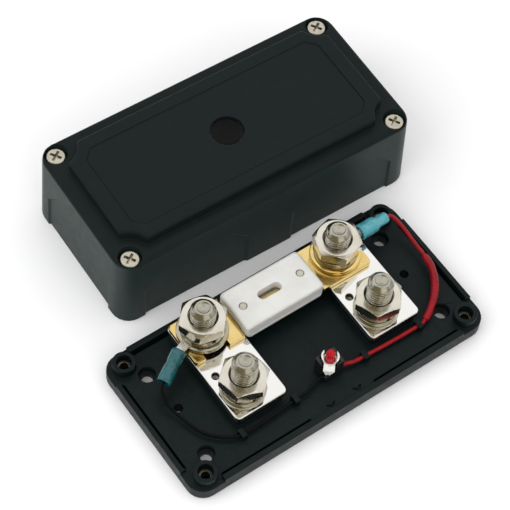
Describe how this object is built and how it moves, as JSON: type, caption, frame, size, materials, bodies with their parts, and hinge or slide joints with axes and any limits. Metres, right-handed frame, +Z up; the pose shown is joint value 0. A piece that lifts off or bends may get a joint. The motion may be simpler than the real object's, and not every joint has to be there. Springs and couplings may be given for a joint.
{
  "type": "strip fuse holder",
  "caption": "Boxed bolt-down strip fuse holder with stud terminals, a red blown-fuse lamp and its dark screw-down cover set down behind it.",
  "frame": {"origin": "middle of the base plate's underside", "axes": "+X along the base's long side, +Y towards the fuse side, +Z up along the studs"},
  "size_m": [0.1546, 0.1433, 0.0414],
  "materials": {
    "case_plastic": "fine spark-eroded matt",
    "stud_nickel": "bright nickel plate",
    "bar_nickel": "polished nickel plate",
    "gold_plate": "gold-coloured plate",
    "insert_brass": "plain machined",
    "ceramic": "glazed white ceramic",
    "rivet_metal": "pale, slightly glossy",
    "socket_black": "moulded satin",
    "holder_white": "moulded white",
    "lens_red": "clear red tint",
    "terminal_tin": "tinned copper",
    "sleeve_teal": "translucent teal",
    "sleeve_blue": "translucent light blue",
    "lead_black": "satin wire jacket",
    "lead_red": "satin wire jacket",
    "shrink_red": "shrunk tubing",
    "resistor_body": "lacquered",
    "screw_steel": "zinc plate"
  },
  "bodies": {
    "base": {"base_plate": "case_plastic", "insert_front_left": "insert_brass", "insert_front_right": "insert_brass", "insert_back_left": "insert_brass", "insert_back_right": "insert_brass", "bus_bar_left": "bar_nickel", "fuse_stud_left": "stud_nickel", "cable_stud_left": "stud_nickel", "fuse_flat_washer_left": "stud_nickel", "cable_flat_washer_left": "stud_nickel", "ring_terminal_left": "terminal_tin", "fuse_rivet_left": "rivet_metal", "bus_bar_right": "bar_nickel", "fuse_stud_right": "stud_nickel", "cable_stud_right": "stud_nickel", "fuse_flat_washer_right": "gold_plate", "cable_flat_washer_right": "stud_nickel", "ring_terminal_right": "terminal_tin", "fuse_rivet_right": "rivet_metal", "terminal_sleeve_left": "sleeve_teal", "terminal_sleeve_right": "sleeve_blue", "fuse_element": "gold_plate", "fuse_body_top": "ceramic", "fuse_body_bottom": "ceramic", "led_socket": "socket_black", "led_holder": "holder_white", "led_lens": "lens_red", "black_lead": "lead_black", "red_lead_lamp_side": "lead_red", "red_lead_terminal_side": "lead_red", "resistor_sleeve": "shrink_red", "indicator_resistor": "resistor_body"},
    "cover": {"cover": "case_plastic"},
    "fuse_lock_left": {"fuse_spring_washer_left": "stud_nickel"},
    "fuse_turn_left": {"fuse_nut_left": "stud_nickel"},
    "fuse_lock_right": {"fuse_spring_washer_right": "stud_nickel"},
    "fuse_turn_right": {"fuse_nut_right": "stud_nickel"},
    "cable_lock_left": {"cable_spring_washer_left": "stud_nickel"},
    "cable_turn_left": {"cable_nut_left": "stud_nickel"},
    "cable_lock_right": {"cable_spring_washer_right": "stud_nickel"},
    "cable_turn_right": {"cable_nut_right": "stud_nickel"},
    "cover_screw_front_left_turn": {"cover_screw_front_left": "screw_steel"},
    "cover_screw_front_right_turn": {"cover_screw_front_right": "screw_steel"},
    "cover_screw_back_left_turn": {"cover_screw_back_left": "screw_steel"},
    "cover_screw_back_right_turn": {"cover_screw_back_right": "screw_steel"}
  },
  "joints": [
    {"name": "fuse_lift_left", "type": "slide", "parent": "base", "child": "fuse_lock_left", "axis": [0, 0, 1], "range_m": [0, 0.012]},
    {"name": "fuse_thread_left", "type": "hinge", "parent": "fuse_lock_left", "child": "fuse_turn_left", "pos_m": [-0.03015, 0.0195, 0.0211], "axis": [0, 0, 1], "range_deg": [0, 2881]},
    {"name": "fuse_lift_right", "type": "slide", "parent": "base", "child": "fuse_lock_right", "axis": [0, 0, 1], "range_m": [0, 0.012]},
    {"name": "fuse_thread_right", "type": "hinge", "parent": "fuse_lock_right", "child": "fuse_turn_right", "pos_m": [0.03175, 0.0195, 0.0211], "axis": [0, 0, 1], "range_deg": [0, 2881]},
    {"name": "cable_lift_left", "type": "slide", "parent": "base", "child": "cable_lock_left", "axis": [0, 0, 1], "range_m": [0, 0.0165]},
    {"name": "cable_thread_left", "type": "hinge", "parent": "cable_lock_left", "child": "cable_turn_left", "pos_m": [-0.03015, -0.0073, 0.0172], "axis": [0, 0, 1], "range_deg": [0, 3961]},
    {"name": "cable_lift_right", "type": "slide", "parent": "base", "child": "cable_lock_right", "axis": [0, 0, 1], "range_m": [0, 0.0165]},
    {"name": "cable_thread_right", "type": "hinge", "parent": "cable_lock_right", "child": "cable_turn_right", "pos_m": [0.03175, -0.0073, 0.0172], "axis": [0, 0, 1], "range_deg": [0, 3961]},
    {"name": "cover_lift", "type": "slide", "parent": "base", "child": "cover", "axis": [0, 0, 1], "range_m": [0, 0.1]},
    {"name": "screw_front_left", "type": "hinge", "parent": "cover", "child": "cover_screw_front_left_turn", "pos_m": [-0.04222, 0.0503, 0.0333], "axis": [0, 0, -1], "range_deg": [0, 925]},
    {"name": "screw_front_right", "type": "hinge", "parent": "cover", "child": "cover_screw_front_right_turn", "pos_m": [0.07812, 0.04652, 0.0333], "axis": [0, 0, -1], "range_deg": [0, 925]},
    {"name": "screw_back_left", "type": "hinge", "parent": "cover", "child": "cover_screw_back_left_turn", "pos_m": [-0.04052, 0.10428, 0.0333], "axis": [0, 0, -1], "range_deg": [0, 925]},
    {"name": "screw_back_right", "type": "hinge", "parent": "cover", "child": "cover_screw_back_right_turn", "pos_m": [0.07982, 0.1005, 0.0333], "axis": [0, 0, -1], "range_deg": [0, 925]}
  ],
  "couplings": [
    {"joint": "fuse_thread_left", "follows": "fuse_lift_left", "rad_per_m": 4188.8},
    {"joint": "fuse_thread_right", "follows": "fuse_lift_right", "rad_per_m": 4188.8},
    {"joint": "cable_thread_left", "follows": "cable_lift_left", "rad_per_m": 4188.8},
    {"joint": "cable_thread_right", "follows": "cable_lift_right", "rad_per_m": 4188.8}
  ]
}
